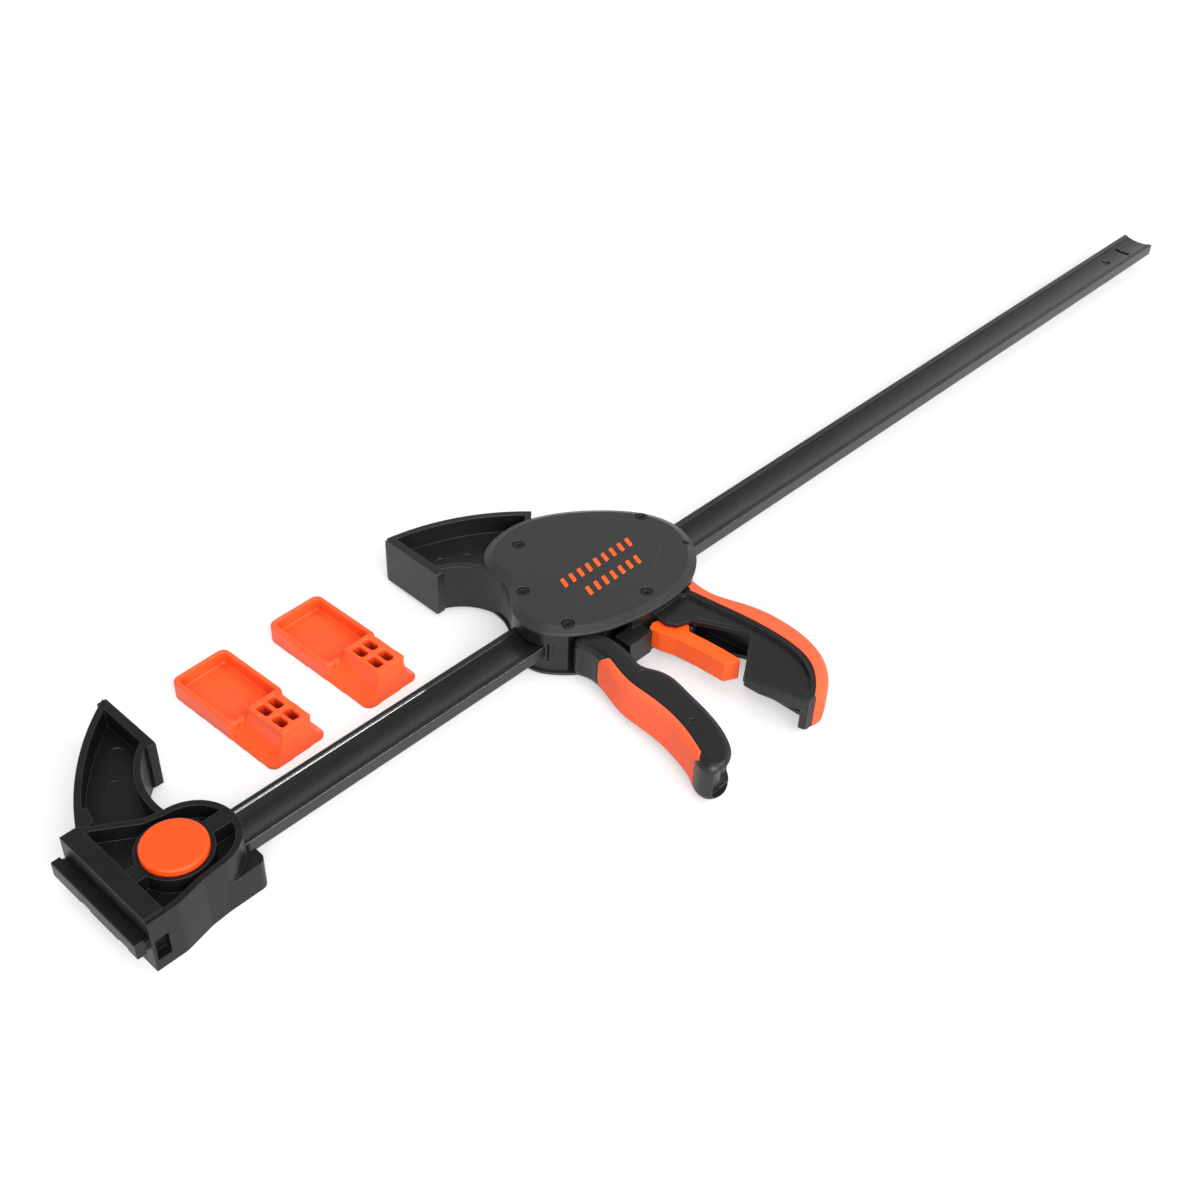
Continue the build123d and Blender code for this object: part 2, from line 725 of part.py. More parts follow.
def make_front_cover():
    """A dished cover with a bevelled edge, screw seats and a boss for the lever's pin."""
    cover = prism(cover_shape(), cover_seat, half_thickness)
    rim = cover.faces().sort_by(Axis.Z)[-1].edges()
    cover = chamfer(rim, length=cover_bevel_drop, length2=cover_bevel_width)
    cover -= prism(cover_room(), cover_seat, cover_inside)
    seat = half_thickness - screw_sink - screw_head_height
    small_seat = half_thickness - cover_bevel_drop
    for x, y in screw_places:
        cover -= upright(x, y, screw_head_radius + screw_gap, seat, half_thickness)
        cover -= upright(x, y, screw_shank_radius + screw_gap, 0, half_thickness)
    small_head_room = small_screw_head_radius + screw_gap
    small_shank_room = small_screw_shank_radius + screw_gap
    cover -= upright(*small_screw_place, small_head_room, small_seat, half_thickness)
    cover -= upright(*small_screw_place, small_shank_room, 0, half_thickness)
    return cover + pin_boss()


def make_back_cover():
    """The front cover's twin: it takes the screws' tips in blind holes."""
    cover = prism(cover_shape(), -half_thickness, -cover_seat)
    rim = cover.faces().sort_by(Axis.Z)[0].edges()
    cover = chamfer(rim, length=cover_bevel_drop, length2=cover_bevel_width)
    cover -= prism(cover_room(), -cover_inside, -cover_seat)
    for x, y in screw_places:
        cover -= upright(x, y, screw_shank_radius + screw_gap, screw_tip() - screw_gap, 0)
    return cover + mirror(pin_boss(), Plane.XY)


def cover_room():
    """Plan of the hollow inside a cover, round the screw bosses."""
    room = housing_inside()
    for x, y in screw_places + [small_screw_place]:
        room -= Pos(x, y) * Circle(screw_boss_radius)
    return room


def pin_boss():
    """A ring on a cover's inside that carries one end of the lever's pin."""
    low = fork_outer + running_gap
    ring = upright(lever_pin_x, lever_pin_y, 2 * lever_pin_radius, low, cover_inside)
    return ring - upright(lever_pin_x, lever_pin_y, lever_pin_radius, low, cover_inside)


def screw_tip():
    """The height at which the long screws end in the back cover."""
    return -half_thickness + screw_end_cover


def make_screw(x, y, head_radius, shank_radius, seat, tip):
    """A round head screw with a hexagon socket, standing on its seat."""
    head = upright(x, y, head_radius, seat, seat + screw_head_height)
    head = chamfer(head.faces().sort_by(Axis.Z)[-1].edges(), screw_head_height / 4)
    socket = Pos(x, y) * RegularPolygon(head_radius / 2, socket_sides)
    head -= prism(socket, seat + screw_head_height - screw_socket_depth, seat + 2 * screw_head_height)
    return head + upright(x, y, shank_radius, tip, seat)


def make_cover_screws():
    """Five long screws through both covers, and a short one by the housing's rear end."""
    seat = half_thickness - screw_sink - screw_head_height
    screws = []
    for x, y in screw_places:
        screws.append(make_screw(x, y, screw_head_radius, screw_shank_radius, seat, screw_tip()))
    small_seat = half_thickness - cover_bevel_drop
    small_tip = small_seat - small_screw_length
    x, y = small_screw_place
    head_radius = small_screw_head_radius
    screws.append(make_screw(x, y, head_radius, small_screw_shank_radius, small_seat, small_tip))
    return Compound(children=screws)


# ---- squeeze lever ----------------------------------------------------------------------
def lever_plan():
    """The lever's plan: one smooth outline from the shoulder round the tip and back."""
    outline = lever_front + lever_tip + lever_back + lever_crown
    return make_face(Spline(*outline, periodic=True))


def lever_skin_room():
    """The room along the lever's front that the soft overmould takes."""
    strip = band_between(lever_front, -lever_skin, lever_front, lever_skin)
    length = lever_skin_top - lever_skin_end
    window = RectangleRounded(length, lever_height + 2 * running_gap, lever_skin_corner)
    window = Pos(0, lever_skin_top - length / 2, 0) * (Plane.YZ * window)
    return slab(strip, 2 * lever_height) & extrude(window, lever_clear)


def lever_outside():
    """The lever's outer form, with its long edges rounded."""
    form = slab(lever_plan(), lever_height)
    return fillet(long_edges(form), lever_edge_radius)


def lever_hollow_plan():
    """Plan of the hollow that is open at the lever's back."""
    inner = curve_shifted(lever_front, lever_skin + lever_wall)
    low_corner = (lever_clear, lever_front[-1][1])
    high_corner = (lever_clear, lever_front[0][1])
    edge = inner + Line(inner @ 1, low_corner) + Line(low_corner, high_corner)
    hollow = make_face(edge + Line(high_corner, inner @ 0))
    keep = lever_roof - lever_hollow_end
    hollow &= Pos(0, lever_hollow_end + keep / 2) * Rectangle(2 * lever_clear, keep)
    way_out = Rectangle(lever_clear, lever_clear, align=(Align.MIN, Align.MAX))
    return hollow + Pos(lever_tip_opening, lever_hollow_end + lever_wall) * way_out


def fork_plan(slot_low):
    """Plan of the fork: eye, stem and rounded nose, and the neck down into the lever."""
    eye = Pos(lever_pin_x, lever_pin_y) * Circle(fork_eye_radius)
    length = lever_pin_y - push_y
    stem = Pos(lever_pin_x, push_y + length / 2) * Rectangle(2 * fork_half_width, length)
    nose = Pos(lever_pin_x, push_y) * Circle(push_radius)
    neck_low = lever_roof + neck_overlap
    neck_front = lever_front[0][0] + neck_shoulder
    neck_corners = [
        (lever_pin_x - fork_half_width, slot_low), (lever_pin_x + fork_half_width, slot_low),
        (lever_back[-1][0], neck_low), (neck_front, neck_low),
    ]
    return eye + stem + nose + make_face(Polyline(*neck_corners, close=True))


def make_lever_fork():
    """The fork above the lever: an eye on each side of the bar and a nose below it."""
    slot_low = -bar_half - fork_bar_room
    slot_high = lever_pin_y + 2 * fork_eye_radius
    half_slot = bar_thickness / 2 + 2 * running_gap
    fork = slab(fork_plan(slot_low), 2 * fork_outer)
    fork -= block(0, lever_clear, slot_low, slot_high, -half_slot, half_slot)
    eye_hole = lever_pin_radius + pin_gap
    return fork - upright(lever_pin_x, lever_pin_y, eye_hole, -fork_outer, fork_outer)


def make_lever_body():
    """The lever's hard moulding: a hollow grip with a fork, and a bed for the soft front."""
    form = lever_outside() - slab(lever_hollow_plan(), lever_hollow_height)
    form += make_lever_fork()
    return form - lever_skin_room()


def make_lever_overmould():
    """The soft strip along the lever's front."""
    return lever_outside() & lever_skin_room()


def make_lever_pin():
    """The pin that the lever turns on, between the two covers."""
    half = cover_inside - pin_gap
    return upright(lever_pin_x, lever_pin_y, lever_pin_radius, -half, half)


# ---- drive and brake --------------------------------------------------------------------
def make_drive_plate(index):
    """One of the steel plates that grip the bar, standing behind the lever's nose."""
    x_low = drive_start + index * drive_plate_thickness
    x_high = x_low + drive_plate_thickness
    half = drive_plate_height / 2
    plate = block(x_low, x_high, drive_plate_low, drive_plate_high, -half, half)
    plate = fillet(plate.edges().filter_by(Axis.X), drive_plate_radius)
    return plate - bar_window(x_low, x_high, sliding_gap)


def spring_along_bar(x_low, x_high, wire_radius, coils):
    """A coil spring round the bar between two places along it."""
    spring = coil_spring(spring_mean_radius, wire_radius, coils, x_high - x_low)
    return Pos(x_low, 0, 0) * (Rot(0, 90, 0) * spring)


def make_drive_spring():
    """The spring that sends the drive plates back towards the lever."""
    start = drive_start + drive_stack + spring_seat_gap
    return spring_along_bar(start, seat_rib_at - spring_seat_gap, drive_wire / 2, drive_coils)


def make_brake_plate():
    """A steel plate hung from its top, tilted across the bar, with a narrow tail to the trigger."""
    half = brake_thickness / 2
    half_height = brake_height / 2
    waist = -brake_hinge_y - bar_half - brake_below_bar
    plate = block(-half, half, waist, brake_top, -half_height, half_height)
    plate += block(-half, half, -brake_tail, waist, -brake_tail_height / 2, brake_tail_height / 2)
    window_half = bar_half + brake_window_gap
    window_height = bar_thickness / 2 + brake_window_gap
    window_centre = -brake_hinge_y / math.cos(math.radians(brake_tilt))
    y_low = window_centre - window_half
    y_high = window_centre + window_half
    plate -= block(-half, half, y_low, y_high, -window_height, window_height)
    return Pos(brake_hinge_x, brake_hinge_y, 0) * (Rot(0, 0, -brake_tilt) * plate)


def make_brake_spring():
    """The spring that keeps the brake plate tilted."""
    start = brake_hinge_x + brake_thickness / 2 + brake_spring_gap
    return spring_along_bar(start, brake_rib_at - spring_seat_gap, brake_wire / 2, brake_coils)


# ---- release trigger --------------------------------------------------------------------
def make_trigger():
    """The release trigger, a flat moulding that turns on a pin between the grip's cheeks."""
    plan = make_face(Polyline(*trigger_outline, close=True))
    trigger = slab(plan, trigger_height)
    trigger = fillet(trigger.edges().filter_by(Axis.Z), trigger_edge_radius)
    hole = trigger_pin_radius + pin_gap
    return trigger - upright(trigger_pin_x, trigger_pin_y, hole, -half_thickness, half_thickness)


def make_trigger_pin():
    """The pin that the trigger turns on, held in the grip's cheeks."""
    half = trigger_pin_half() - pin_gap
    return upright(trigger_pin_x, trigger_pin_y, trigger_pin_radius, -half, half)


# ---- soft pads --------------------------------------------------------------------------
def pad_block():
    """The raised block: scooped sides that rise from the base to a narrow flat top."""
    half_base = pad_width / 2
    half_top = block_top_width / 2
    middle_x = (half_base + half_top) / 2 - scoop_sag
    middle_z = (pad_base + block_height) / 2 - scoop_sag
    right = ThreePointArc((half_base, pad_base), (middle_x, middle_z), (half_top, block_height))
    left = mirror(right, Plane.YZ)
    top = Line((half_top, block_height), (-half_top, block_height))
    base = Line((half_base, pad_base), (-half_base, pad_base))
    section = make_face(right + top + left + base)
    length = pad_length - tray_length - block_end_inset
    solid = extrude(Plane.XZ * section, -length)
    ramp_corners = [
        (length, tray_height), (length, block_height + 1),
        (length - block_ramp, block_height + 1), (length - block_ramp, block_height),
    ]
    ramp = extrude(Plane.YZ * make_face(Polyline(*ramp_corners, close=True)), half_base, both=True)
    return Pos(half_base, block_end_inset, 0) * (solid - ramp)


def pad_cores():
    """Plan of the four core holes in the block's top."""
    cores = Sketch()
    middle_x = pad_width / 2 + core_shift[0]
    middle_y = block_end_inset + block_top_length / 2 + core_shift[1]
    for side in (1, -1):
        for row in (1, -1):
            place = Pos(middle_x + side * core_spacing / 2, middle_y + row * core_row_spacing / 2)
            cores += place * RectangleRounded(core_width, core_length, core_corner)
    return cores


def make_pad():
    """A soft pad lying on its clamping face: a tray for the jaw plate and a cored block."""
    half_width = pad_width / 2
    tray_start = pad_length - tray_length
    base_centre = Pos(half_width, pad_length / 2)
    base = base_centre * RectangleRounded(pad_width, pad_length, pad_corner_radius)
    tray_centre = Pos(half_width, tray_start + tray_length / 2)
    tray_plan = tray_centre * RectangleRounded(pad_width, tray_length, pad_corner_radius)
    tray = fillet(prism(tray_plan, 0, tray_height).faces().sort_by(Axis.Z)[-1].edges(), pad_edge_radius)
    pad = prism(base, 0, pad_base) + (pad_block() & prism(base, 0, block_height)) + tray
    pocket_corner = plate_edge_radius + pad_fit
    room = RectangleRounded(plate_height + pad_fit, plate_length + pad_fit, pocket_corner)
    pad -= prism(tray_centre * room, tray_floor, 2 * block_height)
    return pad - prism(pad_cores(), block_height - core_depth, 2 * block_height)


# ---- assembly ---------------------------------------------------------------------------
fixed_frame = Pos(0, 0, half_thickness)
head_frame = Pos(sliding_face, 0, half_thickness)


def pad_frame(index):
    """Where a loose pad lies: one corner of its base and its turn about Z."""
    x, y, turn = pad_places[index]
    return Pos(x, y, 0) * Rot(0, 0, turn)


nodes = {
    "bar": fixed_frame * make_bar(),
    "fixed_jaw": fixed_frame * make_fixed_jaw(),
    "quick_change_button": fixed_frame * make_button(),
    "latch_key": fixed_frame * make_latch_key(),
    "latch_spring": fixed_frame * make_latch_spring(),
    "sliding_jaw_body": head_frame * make_sliding_jaw_body(),
    "front_cover": head_frame * make_front_cover(),
    "back_cover": head_frame * make_back_cover(),
    "cover_screws": head_frame * make_cover_screws(),
    "grip_overmould": head_frame * make_grip_overmould(),
    "lever_body": head_frame * make_lever_body(),
    "lever_overmould": head_frame * make_lever_overmould(),
    "lever_pivot_pin": head_frame * make_lever_pin(),
    "drive_spring": head_frame * make_drive_spring(),
    "brake_plate": head_frame * make_brake_plate(),
    "brake_spring": head_frame * make_brake_spring(),
    "release_trigger": head_frame * make_trigger(),
    "trigger_pin": head_frame * make_trigger_pin(),
    "fixed_jaw_pad": pad_frame(0) * make_pad(),
    "sliding_jaw_pad": pad_frame(1) * make_pad(),
}
for plate_index in range(drive_plate_count):
    name = "drive_plate_" + str(plate_index + 1)
    nodes[name] = head_frame * make_drive_plate(plate_index)

os.makedirs("parts", exist_ok=True)
for name, solid in nodes.items():
    export_step(solid, os.path.join("parts", name + ".step"))
    print(name, round(solid.volume, 1), "mm3")
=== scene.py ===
# %% [markdown]
# # A one-hand bar clamp with soft jaw pads
# The clamp lies on its side on a pale bench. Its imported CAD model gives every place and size,
# so this lesson loads that model first and builds the looks round it. Blender works in metres,
# while the small sizes below are written in millimetres and multiplied by MM.

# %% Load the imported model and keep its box
import math
import bmesh
import bpy
from mathutils import Matrix, Vector


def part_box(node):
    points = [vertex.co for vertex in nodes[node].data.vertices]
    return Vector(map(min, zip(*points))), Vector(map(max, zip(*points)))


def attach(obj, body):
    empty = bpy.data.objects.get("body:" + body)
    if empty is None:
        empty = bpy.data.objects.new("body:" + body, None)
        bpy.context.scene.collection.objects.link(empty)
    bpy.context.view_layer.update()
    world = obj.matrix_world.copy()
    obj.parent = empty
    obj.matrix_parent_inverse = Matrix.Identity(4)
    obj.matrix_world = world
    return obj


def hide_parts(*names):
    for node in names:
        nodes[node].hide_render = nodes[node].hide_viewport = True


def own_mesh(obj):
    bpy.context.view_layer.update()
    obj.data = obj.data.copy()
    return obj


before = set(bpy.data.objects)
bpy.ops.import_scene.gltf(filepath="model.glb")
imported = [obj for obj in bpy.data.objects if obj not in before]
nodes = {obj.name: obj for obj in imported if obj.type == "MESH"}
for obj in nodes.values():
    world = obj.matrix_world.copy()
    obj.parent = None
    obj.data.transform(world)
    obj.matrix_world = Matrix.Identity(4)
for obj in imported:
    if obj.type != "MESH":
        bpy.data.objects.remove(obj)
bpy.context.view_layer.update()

MM = 0.001
print("CAD nodes:", len(nodes))


# %% [markdown]
# ## Helpers for materials
# Colours are chosen as sRGB hex values, because that is how swatches are written, but shaders
# work in linear light. One function turns the one into the other. A second adds a shader node
# with its settings and links in one call, which keeps each material short. It knows a socket by
# its name, or by its number where a node has several of one name, as Mix has. The last two
# start an empty material, and turn a real size into the scale that a texture needs.

# %% Colour and node helpers
def linear(hex_code):
    """A linear RGBA colour from an sRGB hex code."""
    values = [int(hex_code[i:i + 2], 16) / 255 for i in (0, 2, 4)]
    return [v / 12.92 if v <= 0.04045 else ((v + 0.055) / 1.055) ** 2.4 for v in values] + [1]


def add(tree, kind, inputs=None, **settings):
    """Add a node, set its properties, and fill or link its sockets."""
    node = tree.nodes.new(kind)
    for name, value in settings.items():
        setattr(node, name, value)
    for name, value in (inputs or {}).items():
        socket = node.inputs[name]
        if isinstance(value, bpy.types.NodeSocket):
            tree.links.new(value, socket)
        else:
            socket.default_value = value
    return node


def new_material(name):
    """An empty material with its output node, and the position that patterns read."""
    material = bpy.data.materials.new(name)
    material.use_nodes = True
    tree = material.node_tree
    tree.nodes.clear()
    output = add(tree, "ShaderNodeOutputMaterial")
    place = add(tree, "ShaderNodeTexCoord").outputs["Object"]
    return material, tree, output, place


def per_metre(size_mm):
    """A texture scale whose features are size_mm across."""
    return 1 / (size_mm * MM)


print("the grey 808080 is", round(linear("808080")[0], 3), "in linear light")


# %% [markdown]
# ## Camera
# The clamp runs away from the viewer, from the fixed jaw at the lower left to the bar's free
# end at the upper right. The camera's own axes are written as directions, which is plainer
# than angles for a view that is turned about all three.

# %% Camera
CAMERA_PLACE = Vector((-0.1979, -0.3992, 0.5240))
CAMERA_RIGHT = Vector((0.6905, -0.7225, 0.0339)).normalized()
CAMERA_FORWARD = Vector((0.5636, 0.5080, -0.6514)).normalized()
LENS = 48.23
SENSOR_WIDTH = 36
NEAREST_SEEN = 0.01

camera_data = bpy.data.cameras.new("camera")
camera_data.lens = LENS
camera_data.sensor_width = SENSOR_WIDTH
camera_data.clip_start = NEAREST_SEEN
camera = bpy.data.objects.new("camera", camera_data)
bpy.context.scene.collection.objects.link(camera)
camera_up = CAMERA_RIGHT.cross(CAMERA_FORWARD)
turn = Matrix((CAMERA_RIGHT, camera_up, -CAMERA_FORWARD)).transposed().to_4x4()
camera.matrix_world = Matrix.Translation(CAMERA_PLACE) @ turn
bpy.context.scene.camera = camera
print("camera at", [round(v, 3) for v in CAMERA_PLACE])


# %% [markdown]
# ## Bench
# The bench is one large sheet of matt white board. It glows to the camera, and only part of
# its brightness comes from the lamps, so the object's shadow stays as a pale grey under it.
# Away from the middle of the object the glow rises to full white, so the bench runs out into
# the white wall with no seam. Light that falls on the object ignores the glow: it counts only
# for rays from the camera and for those that mirror or pass through something.

# %% Bench
FLOOR_SIZE = 12.0
FLOOR_GLOW = 0.41
FLOOR_SHADE = 0.58
MIDDLE = (0.30, 0.0, 0.0)
GLOW_RISES_FROM = 0.55
GLOW_FULL_AT = 1.6

floor_mesh = bpy.data.meshes.new("bench")
shape = bmesh.new()
bmesh.ops.create_grid(shape, x_segments=1, y_segments=1, size=FLOOR_SIZE / 2)
shape.to_mesh(floor_mesh)
shape.free()
bench = bpy.data.objects.new("bench", floor_mesh)
bpy.context.scene.collection.objects.link(bench)


def seen_by_rays(tree):
    """One for camera, mirror and glass rays, nought for the light that falls on the object."""
    path = add(tree, "ShaderNodeLightPath")
    seen = path.outputs["Is Camera Ray"]
    for name in ("Is Glossy Ray", "Is Transmission Ray"):
        seen = add(tree, "ShaderNodeMath", {0: seen, 1: path.outputs[name]},
                   operation="MAXIMUM").outputs[0]
    return seen


# Matt white board: no shine at all, so nothing mirrors in it.
bench_board, tree, output, place = new_material("board_matt_white")
paint = add(tree, "ShaderNodeBsdfDiffuse", {"Color": [FLOOR_SHADE] * 3 + [1]})
reach = add(tree, "ShaderNodeVectorMath", {0: place, 1: MIDDLE}, operation="DISTANCE")
far_glow = add(tree, "ShaderNodeMapRange",
               {"Value": reach.outputs["Value"], "From Min": GLOW_RISES_FROM,
                "From Max": GLOW_FULL_AT, "To Min": FLOOR_GLOW, "To Max": 1.0})
glow_strength = add(tree, "ShaderNodeMath",
                    {0: seen_by_rays(tree), 1: far_glow.outputs[0]}, operation="MULTIPLY")
glow = add(tree, "ShaderNodeEmission", {"Strength": glow_strength.outputs[0]})
both = add(tree, "ShaderNodeAddShader", {0: paint.outputs[0], 1: glow.outputs[0]})
tree.links.new(both.outputs[0], output.inputs["Surface"])
floor_mesh.materials.append(bench_board)
print("bench", FLOOR_SIZE, "m across")


# %% [markdown]
# ## Room
# A dim even sky fills the shadows. Shiny surfaces show the room itself: low down they see a
# white wall, and higher up it darkens smoothly to a ceiling. Black parts get most of their
# form from that change, because they return little light of their own.

# %% Room
WORLD_LIGHT = 0.48
WALL_TOP = 0.41
CEILING_START = 0.86
CEILING_LIGHT = 0.10

world = bpy.data.worlds.new("studio")
world.use_nodes = True
tree = world.node_tree
tree.nodes.clear()
seen = seen_by_rays(tree)
direction = add(tree, "ShaderNodeTexCoord").outputs["Generated"]
height = add(tree, "ShaderNodeSeparateXYZ", {0: direction}).outputs["Z"]
room = add(tree, "ShaderNodeMapRange",
           {"Value": height, "From Min": WALL_TOP, "From Max": CEILING_START,
            "To Min": 1.0, "To Max": CEILING_LIGHT}, interpolation_type="SMOOTHSTEP")
level = add(tree, "ShaderNodeMix", {0: seen, 2: WORLD_LIGHT, 3: room.outputs[0]},
            data_type="FLOAT")
sky = add(tree, "ShaderNodeBackground", {"Color": (1, 1, 1, 1), "Strength": level.outputs[0]})
add(tree, "ShaderNodeOutputWorld", {"Surface": sky.outputs[0]})
bpy.context.scene.world = world
print("sky level", WORLD_LIGHT, "and ceiling level", CEILING_LIGHT)


# %% [markdown]
# ## Lamps
# Three square lamps face the middle of the object: a weak one overhead, a strong one in front,
# and a small one at the right, which draws a line of light on the edges. Large lamps give wide
# and faint shadows. Their power is set so that a colour renders about as it is written.

# %% Lamps
LAMPS = (
    # name, place, width in metres, watts
    ("top_light", (0.25, -0.1, 2.0), 1.2, 8),
    ("front_light", (-0.5, -1.3, 1.0), 1.4, 40),
    ("edge_light", (1.05, -1.2, 1.3), 0.6, 10),
)
for name, lamp_place, width, watts in LAMPS:
    lamp_data = bpy.data.lights.new(name, "AREA")
    lamp_data.shape = "SQUARE"
    lamp_data.size = width
    lamp_data.energy = watts
    lamp = bpy.data.objects.new(name, lamp_data)
    bpy.context.scene.collection.objects.link(lamp)
    lamp.location = lamp_place
    toward = Vector(MIDDLE) - Vector(lamp_place)
    lamp.rotation_euler = toward.to_track_quat("-Z", "Y").to_euler()
    print(name, watts, "W")

bpy.context.scene.view_settings.view_transform = "Standard"
print("view transform:", bpy.context.scene.view_settings.view_transform)


# %% [markdown]
# ## Painted highlights on edges and painted shade in pockets
# Rounded edges catch the light, and here that is painted in: the edges take a paler colour
# than the faces, a painted highlight. A Bevel node gives the normal of a slightly rounded
# edge. Where it turns away from the face's own normal the point lies near an edge, so comparing
# the two makes a mask of the edges from the shape alone.
# The other extreme is a narrow pocket. There a deeper red orange is painted in as shade, standing
# in for the light that bounces from wall to wall. An Ambient Occlusion node measures how open a
# point is, which gives that mask.

# %% Masks for edges and pockets
EDGE_ROUND = 0.55
EDGE_START = 0.02
EDGE_FULL = 0.22
POCKET_REACH = 7.0
POCKET_CLOSED = 0.15
POCKET_OPEN = 0.75
MASK_SAMPLES = 8


def edge_highlight_mask(tree, edge_normal):
    """Nought on flat faces, rising to one where a rounded edge turns away from its face."""
    flat = add(tree, "ShaderNodeNewGeometry").outputs["Normal"]
    alike = add(tree, "ShaderNodeVectorMath", {0: flat, 1: edge_normal}, operation="DOT_PRODUCT")
    return add(tree, "ShaderNodeMapRange",
               {"Value": alike.outputs["Value"], "From Min": 1 - EDGE_START,
                "From Max": 1 - EDGE_FULL, "To Min": 0.0, "To Max": 1.0}).outputs[0]


def pocket_shade_mask(tree, reach_mm):
    """One on open faces, falling to nought down in a pocket."""
    open_sky = add(tree, "ShaderNodeAmbientOcclusion", {"Distance": reach_mm * MM},
                   samples=MASK_SAMPLES)
    return add(tree, "ShaderNodeMapRange",
               {"Value": open_sky.outputs["AO"], "From Min": POCKET_CLOSED,
                "From Max": POCKET_OPEN, "To Min": 0.0, "To Max": 1.0}).outputs[0]


print("edges rounded by", EDGE_ROUND, "mm, pockets measured over", POCKET_REACH, "mm")


# %% [markdown]
# ## Moulded plastics
# Most of the clamp is glass filled nylon. The tool for such parts is spark eroded, which
# leaves a fine even grain, so the surface is a satin black that greys towards the light.
# The real grain is about 0.15 mm, too fine to show here, so it is drawn at 0.5 mm. Each
# plastic also has a slow mottle, since a moulding never cools evenly. Noise textures draw
# both, because they need no image and have no seam.

# %% Moulded plastic
GRAIN = 0.5
GRAIN_STRENGTH = 0.6
MOTTLE = 14.0
PLASTIC_IOR = 1.50
PLASTIC_GLOSS_SPREAD = 0.05
NOISE_LOW = 0.3
NOISE_HIGH = 0.7


def moulded(name, colour, worn_colour, edge_highlight_colour, roughness, grain_depth, specular,
            pocket_shade_colour=None):
    """A moulded plastic: slight mottle in colour and gloss, fine grain, painted highlight on
    edges.
    """
    material, tree, output, place = new_material(name)
    mottle = add(tree, "ShaderNodeTexNoise",
                 {"Vector": place, "Scale": per_metre(MOTTLE), "Detail": 4.0, "Roughness": 0.6})
    tint = add(tree, "ShaderNodeMix", {0: mottle.outputs["Fac"], 6: linear(colour),
                                       7: linear(worn_colour)}, data_type="RGBA")
    gloss = add(tree, "ShaderNodeMapRange",
                {"Value": mottle.outputs["Fac"], "From Min": NOISE_LOW, "From Max": NOISE_HIGH,
                 "To Min": roughness - PLASTIC_GLOSS_SPREAD,
                 "To Max": roughness + PLASTIC_GLOSS_SPREAD})
    grain = add(tree, "ShaderNodeTexNoise",
                {"Vector": place, "Scale": per_metre(GRAIN), "Detail": 2.0})
    edge = add(tree, "ShaderNodeBevel", {"Radius": EDGE_ROUND * MM}, samples=MASK_SAMPLES)
    edge_highlight = edge_highlight_mask(tree, edge.outputs[0])
    # Painted highlight: the edge colour is mixed in along rounded edges.
    body_colour = add(tree, "ShaderNodeMix", {0: edge_highlight, 6: tint.outputs["Result"],
                                              7: linear(edge_highlight_colour)}, data_type="RGBA")
    # Painted shade: a deeper colour is mixed in down in pockets, where little light reaches.
    if pocket_shade_colour:
        body_colour = add(tree, "ShaderNodeMix",
                          {0: pocket_shade_mask(tree, POCKET_REACH), 6: linear(pocket_shade_colour),
                           7: body_colour.outputs["Result"]}, data_type="RGBA")
    relief = add(tree, "ShaderNodeBump",
                 {"Height": grain.outputs["Fac"], "Distance": grain_depth * MM,
                  "Strength": GRAIN_STRENGTH, "Normal": edge.outputs[0]})
    shader = add(tree, "ShaderNodeBsdfPrincipled",
                 {"Base Color": body_colour.outputs["Result"], "Roughness": gloss.outputs[0],
                  "IOR": PLASTIC_IOR, "Specular IOR Level": specular,
                  "Normal": relief.outputs[0]})
    tree.links.new(shader.outputs[0], output.inputs["Surface"])
    return material


# Nylon from a spark textured tool: a satin black that greys towards the light.
black_nylon = moulded("glass_filled_nylon_spark_textured", "101011", "171718", "3a3a3a",
                      roughness=0.38, grain_depth=0.03, specular=0.42)
# The same nylon in a darker copy for the fixed jaw, a painted shade for its close ribs: a deeper
# black with less sheen.
shaded_jaw_nylon = moulded("glass_filled_nylon_painted_shade_black", "0c0c0d", "121213", "363636",
                    roughness=0.40, grain_depth=0.03, specular=0.30)
# The covers' nylon from a finer tool: a dark grey with an even sheen.
cover_nylon = moulded("glass_filled_nylon_satin_cover", "242425", "2a2a2b", "4a4a4a",
                      roughness=0.42, grain_depth=0.03, specular=0.45)
# Moulded acetal: a hard, pure orange with a waxy skin, for the button.
button_acetal = moulded("acetal_moulded_orange_satin", "f84a0a", "fa5012", "ff6426",
                        roughness=0.42, grain_depth=0.01, specular=0.4)
# The same acetal in a yellower batch: a warmer orange, for the trigger and the dashes.
trigger_acetal = moulded("acetal_moulded_orange_warm", "fb560e", "fd5e18", "ff7030",
                         roughness=0.42, grain_depth=0.01, specular=0.4)
# Rubber moulded over the nylon: a soft pinkish orange, nearly matt, kind to the hand.
grip_rubber = moulded("thermoplastic_rubber_moulded_orange", "fb5a30", "fd643c", "ff7048",
                      roughness=0.6, grain_depth=0.05, specular=0.4)
# Soft moulded vinyl: a warm orange skin, with a painted shade of deep red down in its pockets.
pad_vinyl = moulded("soft_vinyl_moulded_orange", "fd5320", "fd5f2a", "ff7440",
                    roughness=0.42, grain_depth=0.02, specular=0.4, pocket_shade_colour="b02008")
print("materials so far:", len(bpy.data.materials))


# %% [markdown]
# ## Metals
# The bar is cold drawn steel with a black oxide finish: dark, satin, with faint lines along
# its length from the drawing die. On one shoulder near the jaw a bright glossy steel is a
# painted glint, for the line of light there. The screws have the same finish, rougher. The
# plates, pins and springs inside are plain hardened steel with a film of oil. A noise that is
# stretched along X draws the lines, which works on any length of bar.

# %% Metals
PATCH = 30.0
METAL_GLOSS_SPREAD = 0.06
LINE_STRENGTH = 0.5


